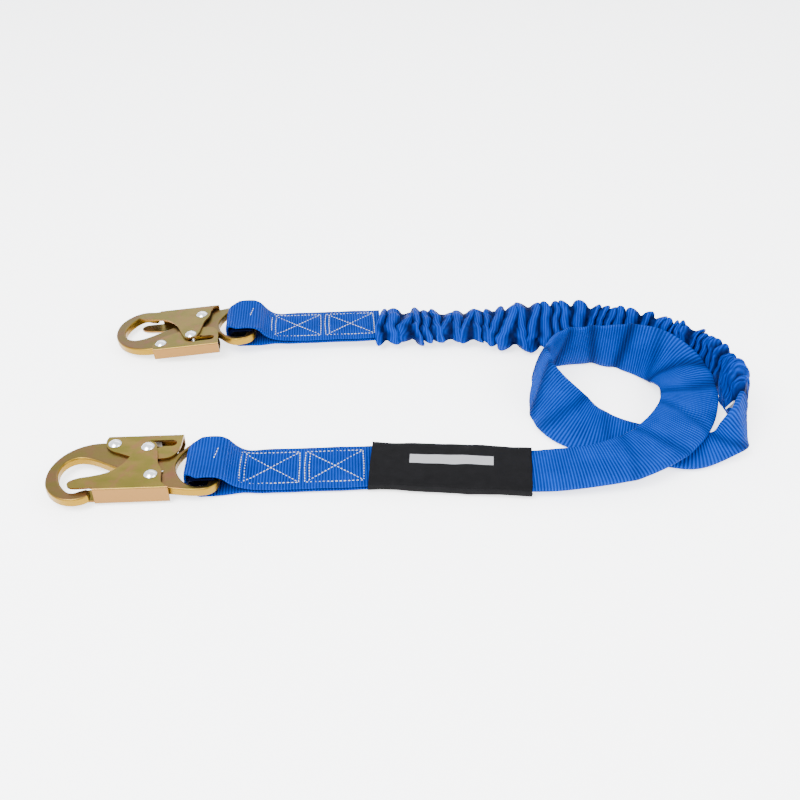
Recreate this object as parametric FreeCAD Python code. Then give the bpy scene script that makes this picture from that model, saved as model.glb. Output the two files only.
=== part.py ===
import FreeCAD
import Part
import math
import os

os.makedirs("parts", exist_ok=True)

V = FreeCAD.Vector

# ---- driving dimensions (millimetres) ----
WEB_WIDTH = 45.0           # polyester webbing of the end loops
WEB_PLY = 2.8              # one layer of that webbing
TAIL_THICK = 5.8           # two layers sewn together
JACKET_WIDTH = 43.0        # tubular jacket, flat
JACKET_THICK = 6.4
JACKET_WALL = 1.2
CORE_GAP = 0.4             # air between a jacket and what it holds
RUFFLE_WIDTH = 54.0        # gathered jacket over its ruffles, lying flat
RUFFLE_ON_EDGE = 46.0      # the same where the jacket stands on edge
RUFFLE_WAIST = 0.72        # share of the size left between ruffles
RUFFLE_THICK = 19.0
RUFFLE_PITCH = 12.0
ELASTIC_WIDTH = 26.0
ELASTIC_THICK = 5.0
SLEEVE_WIDTH = 51.0
SLEEVE_THICK = 12.4
SLEEVE_WALL = 1.0

PLATE = 7.0                # forged hook body
PLATE_EDGE = 1.4           # rounding of the forged edges
SHEET = 1.5                # gate and lock lever sheet
LAYER_GAP = 0.3            # air between stacked moving sheets
LEVER_IN = PLATE / 2 + LAYER_GAP
LEVER_OUT = LEVER_IN + SHEET
GATE_IN = LEVER_OUT + LAYER_GAP
GATE_OUT = GATE_IN + SHEET
PIVOT_RADIUS = 3.0
PIVOT_HOLE = 3.06
PIN_RADIUS = 2.5
HEAD_RADIUS = 4.8
HEAD_HEIGHT = 2.2
HEAD_GAP = 0.15

# Hook-frame places: origin on the eye bar's axis, nose toward -X, gate toward -Y
GATE_PIVOT = (-45.2, -13.7)
LEVER_PIVOT = (-77.6, 24.6)
LOCK_PIN = (-51.9, 17.7)
GATE_OPEN_DEG = 22.0
LEVER_SQUEEZE_DEG = 9.0

# Where each hook's eye bar sits, its turn about Z and the dip of its nose
NEAR_BAR = V(-135.0, -96.0, 9.8)
NEAR_TURN = 3.0
NEAR_DIP = 0.0
FAR_BAR = V(-131.5, 91.0, 17.4)
FAR_TURN = 4.0
FAR_DIP = 5.0

# The written parts are measured from the floor under the middle of the end fittings and cover
ORIGIN = V(-78.6, -7.16, 0.3)

# Jacket route: x, y, z of the centre and the roll of the band
# (0 lies flat, -90 stands on edge, -180 lies flat with the other face up)
JACKET_ROUTE = [
    (-14.0, -91.4, 6.2, 0.0),
    (40.0, -94.0, 6.2, 0.0),
    (97.0, -98.0, 6.6, 0.0),
    (148.0, -97.0, 12.0, 0.0),
    (182.0, -86.0, 17.0, 3.0),
    (207.0, -64.0, 20.0, 5.0),
    (225.0, -36.0, 21.5, 4.0),
    (231.0, -4.0, 21.8, -6.0),
    (222.0, 24.0, 22.4, -34.0),
    (203.0, 40.4, 23.2, -80.0),
    (165.0, 48.0, 23.2, -103.0),
    (127.0, 41.0, 23.2, -104.0),
    (113.0, 10.0, 22.9, -101.0),
    (116.0, -26.0, 20.5, -118.0),
    (138.0, -49.0, 11.0, -158.0),
    (172.0, -58.0, 5.0, -180.0),
    (203.0, -67.0, 5.0, -180.0),
    (224.0, -75.0, 6.3, -176.0),
    (244.0, -74.0, 11.8, -152.0),
    (258.0, -64.0, 21.8, -112.0),
    (261.0, -48.0, 25.0, -94.0),
]
# Gathered section: the same four values
GATHER_ROUTE = [
    (262.0, -42.0, 25.4, -92.0),
    (267.0, -16.0, 25.4, -90.0),
    (261.6, 12.5, 25.4, -88.0),
    (243.6, 40.0, 25.4, -86.0),
    (208.0, 61.6, 25.2, -84.0),
    (162.0, 73.0, 24.6, -70.0),
    (112.0, 86.0, 18.0, -26.0),
    (66.0, 94.6, 12.2, 0.0),
    (24.0, 96.2, 11.2, 0.0),
    (-14.0, 96.6, 11.0, 0.0),
]
# Label cover over the jacket's first stretch
SLEEVE_ROUTE = [
    (-22.0, -90.4, 6.5, 0.0),
    (40.0, -93.8, 6.5, 0.0),
    (97.0, -98.0, 6.9, 0.0),
]


# ---- routes: straight runs joined by tangent arcs ----
def route_stations(route, step):
    """Points along the route as (centre, direction, roll in radians)."""
    corners = [V(x, y, z) for x, y, z, roll in route]
    rolls = [math.radians(roll) for x, y, z, roll in route]
    stations = []
    last = corners[0]
    last_roll = rolls[0]
    radii = []
    for i in range(1, len(corners) - 1):
        into = corners[i] - corners[i - 1]
        out = corners[i + 1] - corners[i]
        turn = into.getAngle(out)
        shorter = min(into.Length, out.Length)
        cut = 0.45 * shorter
        radius = cut / math.tan(turn / 2)
        radii.append(radius)
        into.normalize()
        out.normalize()
        arc_start = corners[i] - into * cut
        half_roll_in = rolls[i] + (rolls[i - 1] - rolls[i]) * cut / (corners[i] - corners[i - 1]).Length
        half_roll_out = rolls[i] + (rolls[i + 1] - rolls[i]) * cut / (corners[i + 1] - corners[i]).Length
        add_run(stations, last, arc_start, last_roll, half_roll_in, step)
        axis = into.cross(out)
        axis.normalize()
        to_start = axis.cross(into) * -radius
        middle = arc_start - to_start
        count = max(2, int(math.ceil(radius * turn / step)))
        for k in range(count):
            share = k / count
            spin = FreeCAD.Rotation(axis, math.degrees(turn * share))
            centre = middle + spin.multVec(to_start)
            roll = half_roll_in + (half_roll_out - half_roll_in) * share
            stations.append((centre, spin.multVec(into), roll))
        last = corners[i] + out * cut
        last_roll = half_roll_out
    add_run(stations, last, corners[-1], last_roll, rolls[-1], step)
    direction = corners[-1] - corners[-2]
    direction.normalize()
    stations.append((corners[-1], direction, rolls[-1]))
    return stations, radii


def add_run(stations, start, end, roll_start, roll_end, step):
    run = end - start
    length = run.Length
    direction = V(run)
    direction.normalize()
    count = max(1, int(math.ceil(length / step)))
    for k in range(count):
        share = k / count
        stations.append((start + run * share, direction, roll_start + (roll_end - roll_start) * share))


def route_length(stations):
    total = 0.0
    for a, b in zip(stations[:-1], stations[1:]):
        total += (b[0] - a[0]).Length
    return total


def band_section(station, width, thick, shoulder_share=0.35):
    """Closed wire of a flattened octagon across the band."""
    centre, direction, roll = station
    level = V(0, 0, 1).cross(direction)
    level.normalize()
    upright = direction.cross(level)
    across = level * math.cos(roll) + upright * math.sin(roll)
    face = direction.cross(across)
    shoulder = thick * shoulder_share
    outline = [
        (width / 2, thick / 2 - shoulder),
        (width / 2 - shoulder, thick / 2),
        (-width / 2 + shoulder, thick / 2),
        (-width / 2, thick / 2 - shoulder),
        (-width / 2, -thick / 2 + shoulder),
        (-width / 2 + shoulder, -thick / 2),
        (width / 2 - shoulder, -thick / 2),
        (width / 2, -thick / 2 + shoulder),
    ]
    points = [centre + across * a + face * f for a, f in outline]
    return Part.makePolygon(points + [points[0]])


def band(stations, widths, thicks, shoulder_share=0.35):
    wires = [band_section(s, w, t, shoulder_share) for s, w, t in zip(stations, widths, thicks)]
    return Part.makeLoft(wires, True, True)


def plain_band(stations, width, thick, shoulder_share=0.35):
    count = len(stations)
    return band(stations, [width] * count, [thick] * count, shoulder_share)


def hollow(outer, inner):
    """Closed skin: the outer shell with the inner one as its void."""
    skin = Part.makeSolid(Part.makeCompound([outer.Shells[0], inner.Shells[0].reversed()]))
    return skin


# ---- tubular jacket and the absorber core inside it ----
TUCK_DEPTH = 0.48          # share of the width folded away where the jacket turns up beside itself
TUCK_BACK = 36.0           # that place, measured back from the jacket's end
TUCK_SPREAD = 20.0
CORE_SIDE_ROOM = 4.0


def tucked_widths(stations, full_width):
    """Band widths along the jacket, narrower where it folds up."""
    travelled = [0.0]
    for a, b in zip(stations[:-1], stations[1:]):
        travelled.append(travelled[-1] + (b[0] - a[0]).Length)
    tuck_place = travelled[-1] - TUCK_BACK
    widths = []
    for place in travelled:
        share = 1 - TUCK_DEPTH * math.exp(-((place - tuck_place) / TUCK_SPREAD) ** 2)
        widths.append(full_width * share)
    return widths


def build_jacket():
    stations, radii = route_stations(JACKET_ROUTE, 7.0)
    widths = tucked_widths(stations, JACKET_WIDTH)
    count = len(stations)
    outer = band(stations, widths, [JACKET_THICK] * count)
    inner_widths = [width - 2 * JACKET_WALL for width in widths]
    inner_thick = JACKET_THICK - 2 * JACKET_WALL
    inner = band(stations[1:-1], inner_widths[1:-1], [inner_thick] * (count - 2))
    inset = 2 * (JACKET_WALL + CORE_GAP)
    core_widths = [width - inset - CORE_SIDE_ROOM for width in widths]
    core = band(stations[2:-2], core_widths[2:-2], [JACKET_THICK - inset] * (count - 4))
    print("jacket radii", [round(r, 1) for r in radii])
    print("jacket length", round(route_length(stations), 1), "outer volume", round(outer.Volume))
    return hollow(outer, inner), core


# ---- gathered jacket and the elastic core inside it ----
def ruffle_swell(stations):
    """Share of the full size at each station: 1 on a ruffle, the waist between."""
    shares = []
    travelled = 0.0
    for i in range(len(stations)):
        if i > 0:
            travelled += (stations[i][0] - stations[i - 1][0]).Length
        phase = 2 * math.pi * travelled / RUFFLE_PITCH
        swell = 0.5 - 0.5 * math.cos(phase)
        shares.append(RUFFLE_WAIST + (1 - RUFFLE_WAIST) * swell)
    return shares


def build_gathered():
    stations, radii = route_stations(GATHER_ROUTE, RUFFLE_PITCH / 3)
    widths = []
    thicks = []
    for station, share in zip(stations, ruffle_swell(stations)):
        flatness = math.cos(station[2]) ** 2
        full_width = RUFFLE_ON_EDGE + (RUFFLE_WIDTH - RUFFLE_ON_EDGE) * flatness
        widths.append(full_width * share)
        thicks.append(RUFFLE_THICK * share)
    outer = band(stations, widths, thicks)
    coarse = route_stations(GATHER_ROUTE, 8.0)[0]
    inner = plain_band(coarse[1:-1], ELASTIC_WIDTH + 2 * CORE_GAP + 2.0, ELASTIC_THICK + 2 * CORE_GAP)
    core = plain_band(coarse[2:-2], ELASTIC_WIDTH, ELASTIC_THICK)
    length = route_length(stations)
    print("gathered radii", [round(r, 1) for r in radii])
    print("gathered length", round(length, 1), "outer volume", round(outer.Volume))
    return hollow(outer, inner), core


# ---- webbing eyes: a loop round the eye bar and a sewn double tail ----
EYE_BACK = -13.0           # centre of the loop's round end, from the bar
EYE_OUT = 9.3
EYE_IN = EYE_OUT - WEB_PLY
PAD_OUT = EYE_IN - 0.3
PAD_THICK = 1.2
PAD_WIDTH = 41.0
TAIL_START = 20.0
CORNER_FROM = -13.6        # the loop's back corners tuck inward from here, clear of the hook's neck
CORNER_BACK = -22.6
CORNER_HALF_WIDTH = 14.6


def extrude_profile(edges, width):
    face = Part.Face(Part.Wire(edges))
    face.translate(V(0, -width / 2, 0))
    return face.extrude(V(0, width, 0))


def line(a, b):
    return Part.makeLine(V(a[0], 0, a[1]), V(b[0], 0, b[1]))


def half_round(radius):
    """The half circle at the loop's round end, from its top to its bottom."""
    top = V(EYE_BACK, 0, radius)
    back = V(EYE_BACK - radius, 0, 0)
    bottom = V(EYE_BACK, 0, -radius)
    return Part.Arc(top, back, bottom).toShape()


def tuck_corners(loop):
    """Takes off the loop's two back corners where the hook's eye narrows."""
    over = WEB_WIDTH
    for side in (1, -1):
        start = V(CORNER_FROM, side * (WEB_WIDTH / 2 + 0.1), -over)
        end = V(CORNER_BACK, side * CORNER_HALF_WIDTH, -over)
        outer = V(CORNER_BACK, side * over, -over)
        wedge = Part.Face(Part.makePolygon([start, end, outer, start])).extrude(V(0, 0, 2 * over))
        loop = loop.cut(wedge)
    return loop


def eye_webbing(tail_end, tail_middle):
    """Loop and tail; heights are measured from the eye bar's axis."""
    high = tail_middle + TAIL_THICK / 2
    low = tail_middle - TAIL_THICK / 2
    outside = [
        (EYE_BACK, EYE_OUT),
        (4.0, EYE_OUT),
        (TAIL_START, high),
        (tail_end, high),
        (tail_end, low),
        (TAIL_START, low),
        (4.0, -EYE_OUT),
        (EYE_BACK, -EYE_OUT),
    ]
    edges = [line(a, b) for a, b in zip(outside[:-1], outside[1:])]
    loop = extrude_profile(edges + [half_round(EYE_OUT)], WEB_WIDTH)
    inside = [
        (EYE_BACK, EYE_IN),
        (2.6, EYE_IN),
        (TAIL_START - 3.5, tail_middle),
        (2.6, -EYE_IN),
        (EYE_BACK, -EYE_IN),
    ]
    edges = [line(a, b) for a, b in zip(inside[:-1], inside[1:])]
    room = extrude_profile(edges + [half_round(EYE_IN)], WEB_WIDTH + 2)
    return tuck_corners(loop.cut(room))


def wear_pad():
    """Lining sewn inside the loop where the bar rubs."""
    parts = []
    for radius in (PAD_OUT, PAD_OUT - PAD_THICK):
        edges = [
            line((EYE_BACK, radius), (1.0, radius)),
            line((1.0, radius), (1.0, -radius)),
            line((1.0, -radius), (EYE_BACK, -radius)),
            half_round(radius),
        ]
        parts.append((edges, radius))
    outer = extrude_profile(parts[0][0], PAD_WIDTH)
    inner = extrude_profile(parts[1][0], WEB_WIDTH + 2)
    mouth = Part.makeBox(4, WEB_WIDTH + 2, 2 * parts[1][1],
                         V(0, -(WEB_WIDTH + 2) / 2, -parts[1][1]))
    return tuck_corners(outer.cut(inner).cut(mouth))


THREAD = 0.9
THREAD_HIGH = 0.5
STITCH = 3.2
STITCH_STEP = 4.6
BOX_LONG = 43.2
BOX_WIDE = 35.0
BOX_GAP = 3.6
CROSS_INSET = 3.0


def stitch_row(start, end, height, inset):
    """Dashes from start to end, an even number so that crossing rows miss each other."""
    heading = end - start
    heading.normalize()
    start = start + heading * inset
    end = end - heading * inset
    run = end - start
    length = run.Length
    count = 2 * int(length // (2 * STITCH_STEP))
    angle = math.degrees(math.atan2(run.y, run.x))
    dashes = []
    for k in range(count):
        along = (k + 0.5) * length / count
        dash = Part.makeBox(STITCH, THREAD, THREAD_HIGH, V(-STITCH / 2, -THREAD / 2, 0))
        dash.rotate(V(0, 0, 0), V(0, 0, 1), angle)
        middle = start + run * (along / length)
        dash.translate(V(middle.x, middle.y, height))
        dashes.append(dash)
    return dashes


def box_stitching(first_x, tail_middle):
    """Two crossed boxes of thread on the top face and the same underneath."""
    dashes = []
    top = tail_middle + TAIL_THICK / 2
    bottom = tail_middle - TAIL_THICK / 2 - THREAD_HIGH
    half = BOX_WIDE / 2
    for box in range(2):
        left = first_x + box * (BOX_LONG + BOX_GAP)
        right = left + BOX_LONG
        corners = [V(left, -half, 0), V(right, -half, 0), V(right, half, 0), V(left, half, 0)]
        rows = [(corners[k], corners[(k + 1) % 4], 0.0) for k in range(4)]
        rows.append((corners[0], corners[2], CROSS_INSET))
        rows.append((corners[1], corners[3], CROSS_INSET))
        for a, b, inset in rows:
            for height in (top, bottom):
                dashes += stitch_row(a, b, height, inset)
    return dashes


def place_webbing(shape, bar, turn):
    shape.rotate(V(0, 0, 0), V(0, 0, 1), turn)
    shape.translate(bar)
    return shape


# ---- snap hook ----
def smooth(points):
    curve = Part.BSplineCurve()
    curve.interpolate([V(x, y, 0) for x, y in points])
    return curve.toShape()


def straight(points):
    return [Part.makeLine(V(a[0], a[1], 0), V(b[0], b[1], 0)) for a, b in zip(points[:-1], points[1:])]


def sheet_of(edges, low, high):
    """Solid between two heights over the closed outline."""
    face = Part.Face(Part.Wire(Part.__sortEdges__(edges)))
    face.translate(V(0, 0, low))
    return face.extrude(V(0, 0, high - low))


def pin(place, radius, low, high):
    return Part.makeCylinder(radius, high - low, V(place[0], place[1], low))


def corner_arc(start, middle, end):
    return Part.Arc(V(start[0], start[1], 0), V(middle[0], middle[1], 0), V(end[0], end[1], 0)).toShape()


BAR_OUT = 3.8
EYE_HALF_OUT = 27.8
EYE_CORNER = 11.0
EYE_HALF_IN = 23.8
EYE_IN_CORNER = 3.5
BAR_IN = -3.8
EYE_NECK = -29.4


def body_outline():
    """Outer edge of the forged body, round the nose and back to the eye."""
    corner_x = BAR_OUT - EYE_CORNER
    corner_y = EYE_HALF_OUT - EYE_CORNER
    bulge = EYE_CORNER * math.sqrt(0.5)
    far_corner = corner_arc((BAR_OUT, corner_y), (corner_x + bulge, corner_y + bulge), (corner_x, EYE_HALF_OUT))
    near_corner = corner_arc((corner_x, -EYE_HALF_OUT), (corner_x + bulge, -corner_y - bulge), (BAR_OUT, -corner_y))
    spine = smooth([(corner_x, EYE_HALF_OUT), (-17.0, 26.8), (-24.0, 20.5), (-30.0, 13.8), (-39.0, 12.2),
                    (-50.0, 12.6), (-57.0, 15.6), (-62.0, 22.6), (-69.0, 27.4), (-77.0, 28.6), (-86.0, 28.6)])
    nose = smooth([(-86.0, 28.6), (-101.3, 25.6), (-110.5, 19.5), (-117.0, 11.0), (-120.8, 1.0), (-121.5, -9.0),
                   (-119.4, -19.0), (-113.6, -27.6), (-106.0, -33.0), (-99.0, -34.6), (-92.5, -33.8), (-87.0, -30.6)])
    tip = straight([(-87.0, -30.6), (-87.0, -24.6), (-89.5, -23.4), (-94.5, -25.2)])
    throat = smooth([(-94.5, -25.2), (-100.4, -26.6), (-106.0, -22.0), (-110.6, -14.5), (-113.0, -6.0),
                     (-112.2, 2.0), (-108.4, 8.4), (-102.6, 11.2), (-95.0, 10.4), (-86.0, 6.4), (-74.0, -0.6),
                     (-64.0, -7.0), (-57.5, -14.0), (-54.0, -21.0)])
    belly = straight([(-54.0, -21.0), (-40.0, -24.4)])
    near_leg = smooth([(-40.0, -24.4), (-30.0, -25.6), (-20.0, -27.4), (corner_x, -EYE_HALF_OUT)])
    bar = straight([(BAR_OUT, -corner_y), (BAR_OUT, corner_y)])
    return [far_corner, spine, nose] + tip + [throat] + belly + [near_leg, near_corner] + bar


def eye_hole():
    r = EYE_IN_CORNER
    half = EYE_HALF_IN
    k = r * math.sqrt(0.5)
    far = corner_arc((BAR_IN, half - r), (BAR_IN - r + k, half - r + k), (BAR_IN - r, half))
    near = corner_arc((BAR_IN - r, -half), (BAR_IN - r + k, -half + r - k), (BAR_IN, -half + r))
    neck = smooth([(-13.0, half), (-20.0, 20.0), (-26.5, 11.0), (EYE_NECK, 0.0), (-26.5, -11.0),
                   (-20.0, -20.0), (-13.0, -half)])
    rest = straight([(BAR_IN - r, half), (-13.0, half)]) + straight([(-13.0, -half), (BAR_IN - r, -half)])
    bar = straight([(BAR_IN, -half + r), (BAR_IN, half - r)])
    return [far, near, neck] + rest + bar


def build_body():
    plate = sheet_of(body_outline(), -PLATE / 2, PLATE / 2)
    plate = plate.cut(sheet_of(eye_hole(), -PLATE, PLATE))
    plate = plate.removeSplitter()
    rim = []
    for edge in plate.Edges:
        box = edge.BoundBox
        if box.ZLength < 0.01:
            rim.append(edge)
    plate = plate.makeFillet(PLATE_EDGE, rim)
    for place in (GATE_PIVOT, LEVER_PIVOT):
        plate = plate.cut(pin(place, PIVOT_RADIUS, -PLATE, PLATE))
    return plate


GATE_WEB_OUT = -28.4
GATE_WEB_LEFT = -84.0
GATE_WEB_RIGHT = -31.0
EAR_RADIUS = 6.4
FOLD = 2.4


def gate_flange():
    """Tongue, ear and pivot land of one gate side, down to the web."""
    ear_x, ear_y = LOCK_PIN
    tongue = smooth([(-84.0, -26.6), (-96.0, -26.4), (-101.6, -24.4), (-102.8, -20.8), (-99.6, -17.2),
                     (-91.0, -14.6), (-82.0, -12.6), (-75.0, -9.6), (-68.4, -3.2), (-63.4, 6.4),
                     (ear_x - EAR_RADIUS, ear_y + 1.0)])
    ear = corner_arc((ear_x - EAR_RADIUS, ear_y + 1.0), (ear_x, ear_y + EAR_RADIUS), (ear_x + EAR_RADIUS, ear_y + 1.0))
    back = smooth([(ear_x + EAR_RADIUS, ear_y + 1.0), (-43.0, 6.0), (-41.0, -3.0), (-38.4, -8.6), (-37.4, -16.0),
                   (-36.4, -22.6)])
    foot = straight([(-36.4, -22.6), (GATE_WEB_RIGHT, GATE_WEB_OUT), (-84.0, GATE_WEB_OUT), (-84.0, -26.6)])
    return [tongue, ear, back] + foot


def build_gate():
    upper = sheet_of(gate_flange(), GATE_IN, GATE_OUT)
    lower = sheet_of(gate_flange(), -GATE_OUT, -GATE_IN)
    web = Part.makeBox(GATE_WEB_RIGHT - GATE_WEB_LEFT, SHEET, 2 * GATE_OUT,
                       V(GATE_WEB_LEFT, GATE_WEB_OUT, -GATE_OUT))
    gate = upper.fuse([lower, web]).removeSplitter()
    folds = []
    for edge in gate.Edges:
        box = edge.BoundBox
        along = box.XLength > 40 and box.ZLength < 0.01 and box.YLength < 0.01
        outside = abs(box.YMin - GATE_WEB_OUT) < 0.01 and abs(abs(box.ZMin) - GATE_OUT) < 0.01
        if along and outside:
            folds.append(edge)
    gate = gate.makeFillet(SHEET * 0.9, folds)
    gate = gate.cut(pin(GATE_PIVOT, PIVOT_HOLE, -GATE_OUT - 1, GATE_OUT + 1))
    return gate.cut(pin(LOCK_PIN, PIN_RADIUS, -GATE_OUT - 1, GATE_OUT + 1))


LEVER_WEB_OUT = 33.8
LEVER_LEFT = -83.6
LEVER_RIGHT = -27.4
WINDOW_ROOM = 0.5


def turned(point, pivot, degrees):
    angle = math.radians(degrees)
    x = point[0] - pivot[0]
    y = point[1] - pivot[1]
    return (pivot[0] + x * math.cos(angle) - y * math.sin(angle),
            pivot[1] + x * math.sin(angle) + y * math.cos(angle))


def window_path():
    """Lock pin's places seen from the lever as gate and lever turn together."""
    places = []
    steps = 6
    for k in range(steps + 1):
        share = k / steps
        gate_place = turned(LOCK_PIN, GATE_PIVOT, -GATE_OPEN_DEG * share)
        places.append(turned(gate_place, LEVER_PIVOT, LEVER_SQUEEZE_DEG * share))
    return places


def lever_window(low, high):
    """Slot for the free pin plus the notch that holds the locked one."""
    room = PIN_RADIUS + WINDOW_ROOM
    places = window_path()
    cutters = [pin(place, room, low, high) for place in places]
    for a, b in zip(places[:-1], places[1:]):
        angle = math.degrees(math.atan2(b[1] - a[1], b[0] - a[0]))
        length = math.hypot(b[0] - a[0], b[1] - a[1])
        slot = Part.makeBox(length, 2 * room, high - low, V(0, -room, low))
        slot.rotate(V(0, 0, 0), V(0, 0, 1), angle)
        slot.translate(V(a[0], a[1], 0))
        cutters.append(slot)
    channel_left = LOCK_PIN[0] + 1.0
    channel_right = -35.0
    channel_half = 3.6
    channel_y = 23.4
    cutters.append(Part.makeBox(channel_right - channel_left, 2 * channel_half, high - low,
                                V(channel_left, channel_y - channel_half, low)))
    cutters.append(pin((channel_left, channel_y), channel_half, low, high))
    cutters.append(pin((channel_right, channel_y), channel_half, low, high))
    return cutters[0].multiFuse(cutters[1:])


def lever_flange():
    head_y = LEVER_WEB_OUT - SHEET
    nose_end = smooth([(LEVER_LEFT, head_y), (LEVER_LEFT - 0.4, 24.0), (-80.4, 18.0), (-74.0, 14.0)])
    lower = straight([(-74.0, 14.0), (-62.0, 8.0)])
    chin = smooth([(-62.0, 8.0), (-52.0, 5.6), (-42.0, 5.4), (-34.4, 7.0), (-29.6, 13.0), (-27.8, 22.0),
                   (LEVER_RIGHT, head_y)])
    top = straight([(LEVER_RIGHT, head_y), (LEVER_RIGHT, LEVER_WEB_OUT), (LEVER_LEFT, LEVER_WEB_OUT),
                    (LEVER_LEFT, head_y)])
    return [nose_end] + lower + [chin] + top


def build_lever():
    upper = sheet_of(lever_flange(), LEVER_IN, LEVER_OUT)
    lower = sheet_of(lever_flange(), -LEVER_OUT, -LEVER_IN)
    web = Part.makeBox(LEVER_RIGHT - LEVER_LEFT, SHEET, 2 * LEVER_OUT,
                       V(LEVER_LEFT, LEVER_WEB_OUT - SHEET, -LEVER_OUT))
    lever = upper.fuse([lower, web]).removeSplitter()
    folds = []
    for edge in lever.Edges:
        box = edge.BoundBox
        along = box.XLength > 40 and box.ZLength < 0.01 and box.YLength < 0.01
        outside = abs(box.YMin - LEVER_WEB_OUT) < 0.01 and abs(abs(box.ZMin) - LEVER_OUT) < 0.01
        if along and outside:
            folds.append(edge)
    lever = lever.makeFillet(SHEET * 0.9, folds)
    lever = lever.cut(lever_window(-LEVER_OUT - 1, LEVER_OUT + 1))
    return lever.cut(pin(LEVER_PIVOT, PIVOT_HOLE, -LEVER_OUT - 1, LEVER_OUT + 1))


def dome(place, foot, direction):
    """Low round rivet head standing on the height 'foot'."""
    rise = HEAD_HEIGHT
    ball = (HEAD_RADIUS ** 2 + rise ** 2) / (2 * rise)
    head = Part.makeSphere(ball, V(place[0], place[1], foot + direction * (rise - ball)))
    keep_low = foot if direction > 0 else foot - rise
    keep = Part.makeCylinder(HEAD_RADIUS, rise, V(place[0], place[1], keep_low))
    return head.common(keep)


def rivet(place, radius, outside):
    """Shank with a domed head beyond the outermost sheet on both sides."""
    foot = outside + HEAD_GAP
    shank = pin(place, radius, -foot, foot)
    return shank.fuse([dome(place, foot, 1), dome(place, -foot, -1)]).removeSplitter()


WIRE = 1.1
LEAF = 0.6
LEAF_HALF_WIDTH = 2.8


def gate_spring():
    """Torsion spring: one flat turn round the gate pivot with two arms."""
    middle = LEVER_IN + 0.1 + WIRE / 2
    x, y = GATE_PIVOT
    r = PIVOT_RADIUS + 1.4
    arms = [((x, y - r), (x - 20.0, y - r - 3.0)), ((x, y + r), (x + 8.0, y + r + 1.0))]
    ring = Part.makeTorus(r, WIRE / 2, V(x, y, middle))
    pieces = []
    for start, end in arms:
        a = V(start[0], start[1], middle)
        b = V(end[0], end[1], middle)
        pieces.append(Part.makeCylinder(WIRE / 2, (b - a).Length, a, b - a))
    return ring.multiFuse(pieces)


def lever_spring():
    """Bent leaf under the lever's web that pushes back on the hook's spine."""
    seat = LEVER_WEB_OUT - SHEET - 0.1
    top = [(-73.0, seat), (-60.0, seat), (-44.0, 28.4)]
    under = [(-44.0, 28.4 - LEAF), (-60.2, seat - LEAF), (-73.0, seat - LEAF)]
    return sheet_of(straight(top + under + [top[0]]), -LEAF_HALF_WIDTH, LEAF_HALF_WIDTH)


def build_hook():
    return {
        "hook_body": build_body(),
        "gate": build_gate(),
        "lock_lever": build_lever(),
        "gate_pivot_rivet": rivet(GATE_PIVOT, PIVOT_RADIUS, GATE_OUT),
        "lever_pivot_rivet": rivet(LEVER_PIVOT, PIVOT_RADIUS, LEVER_OUT),
        "lock_pin": rivet(LOCK_PIN, PIN_RADIUS, GATE_OUT),
        "gate_spring": gate_spring(),
        "lever_spring": lever_spring(),
    }


def place_hook(shape, bar, turn, dip, turned_over):
    if turned_over:
        shape.rotate(V(0, 0, 0), V(1, 0, 0), 180)
    shape.rotate(V(0, 0, 0), V(0, 1, 0), -dip)
    shape.rotate(V(0, 0, 0), V(0, 0, 1), turn)
    shape.translate(bar)
    return shape


# ---- label cover, its page and the inspection tag ----
def build_sleeve():
    stations, radii = route_stations(SLEEVE_ROUTE, 20.0)
    outer = plain_band(stations, SLEEVE_WIDTH, SLEEVE_THICK, 0.1)
    first = (stations[0][0] - stations[0][1] * 2, stations[0][1], stations[0][2])
    last = (stations[-1][0] + stations[-1][1] * 2, stations[-1][1], stations[-1][2])
    longer = [first] + stations[1:-1] + [last]
    inner = plain_band(longer, SLEEVE_WIDTH - 2 * SLEEVE_WALL, SLEEVE_THICK - 2 * SLEEVE_WALL, 0.1)
    return outer.cut(inner)


PAGE_LONG = 82.0
PAGE_WIDE = 38.0
PAGE_THICK = 0.3


def build_page():
    page = Part.makeBox(PAGE_LONG, PAGE_WIDE, PAGE_THICK, V(-PAGE_LONG / 2, -PAGE_WIDE / 2, 0))
    page.rotate(V(0, 0, 0), V(0, 0, 1), -3.4)
    page.translate(V(32.0, -93.4, 10.6))
    return page


TAG_LONG = 9.0
TAG_THICK = 0.6


def build_tag():
    """Small folded inspection tag standing out of the seam at the junction."""
    tag = Part.makeBox(TAG_LONG, TAG_THICK, TAG_LONG, V(-TAG_LONG, 0, 0))
    tag.rotate(V(0, 0, 0), V(0, 0, 1), 30)
    tag.translate(V(255.4, -48.8, 34.0))
    return tag


def write(name, shape):
    shape.translate(-ORIGIN)
    solids = shape.Solids
    good = all(solid.isValid() for solid in solids)
    print(name, "solids", len(solids), "valid", good, "volume", round(shape.Volume))
    shape.exportStep("parts/" + name + ".step")


NEAR_TAIL_END = 117.0
NEAR_TAIL_MIDDLE = 4.4 - NEAR_BAR.z
FAR_TAIL_END = 114.0
FAR_TAIL_MIDDLE = 11.0 - FAR_BAR.z
FIRST_STITCH = TAIL_START + 0.6


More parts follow.
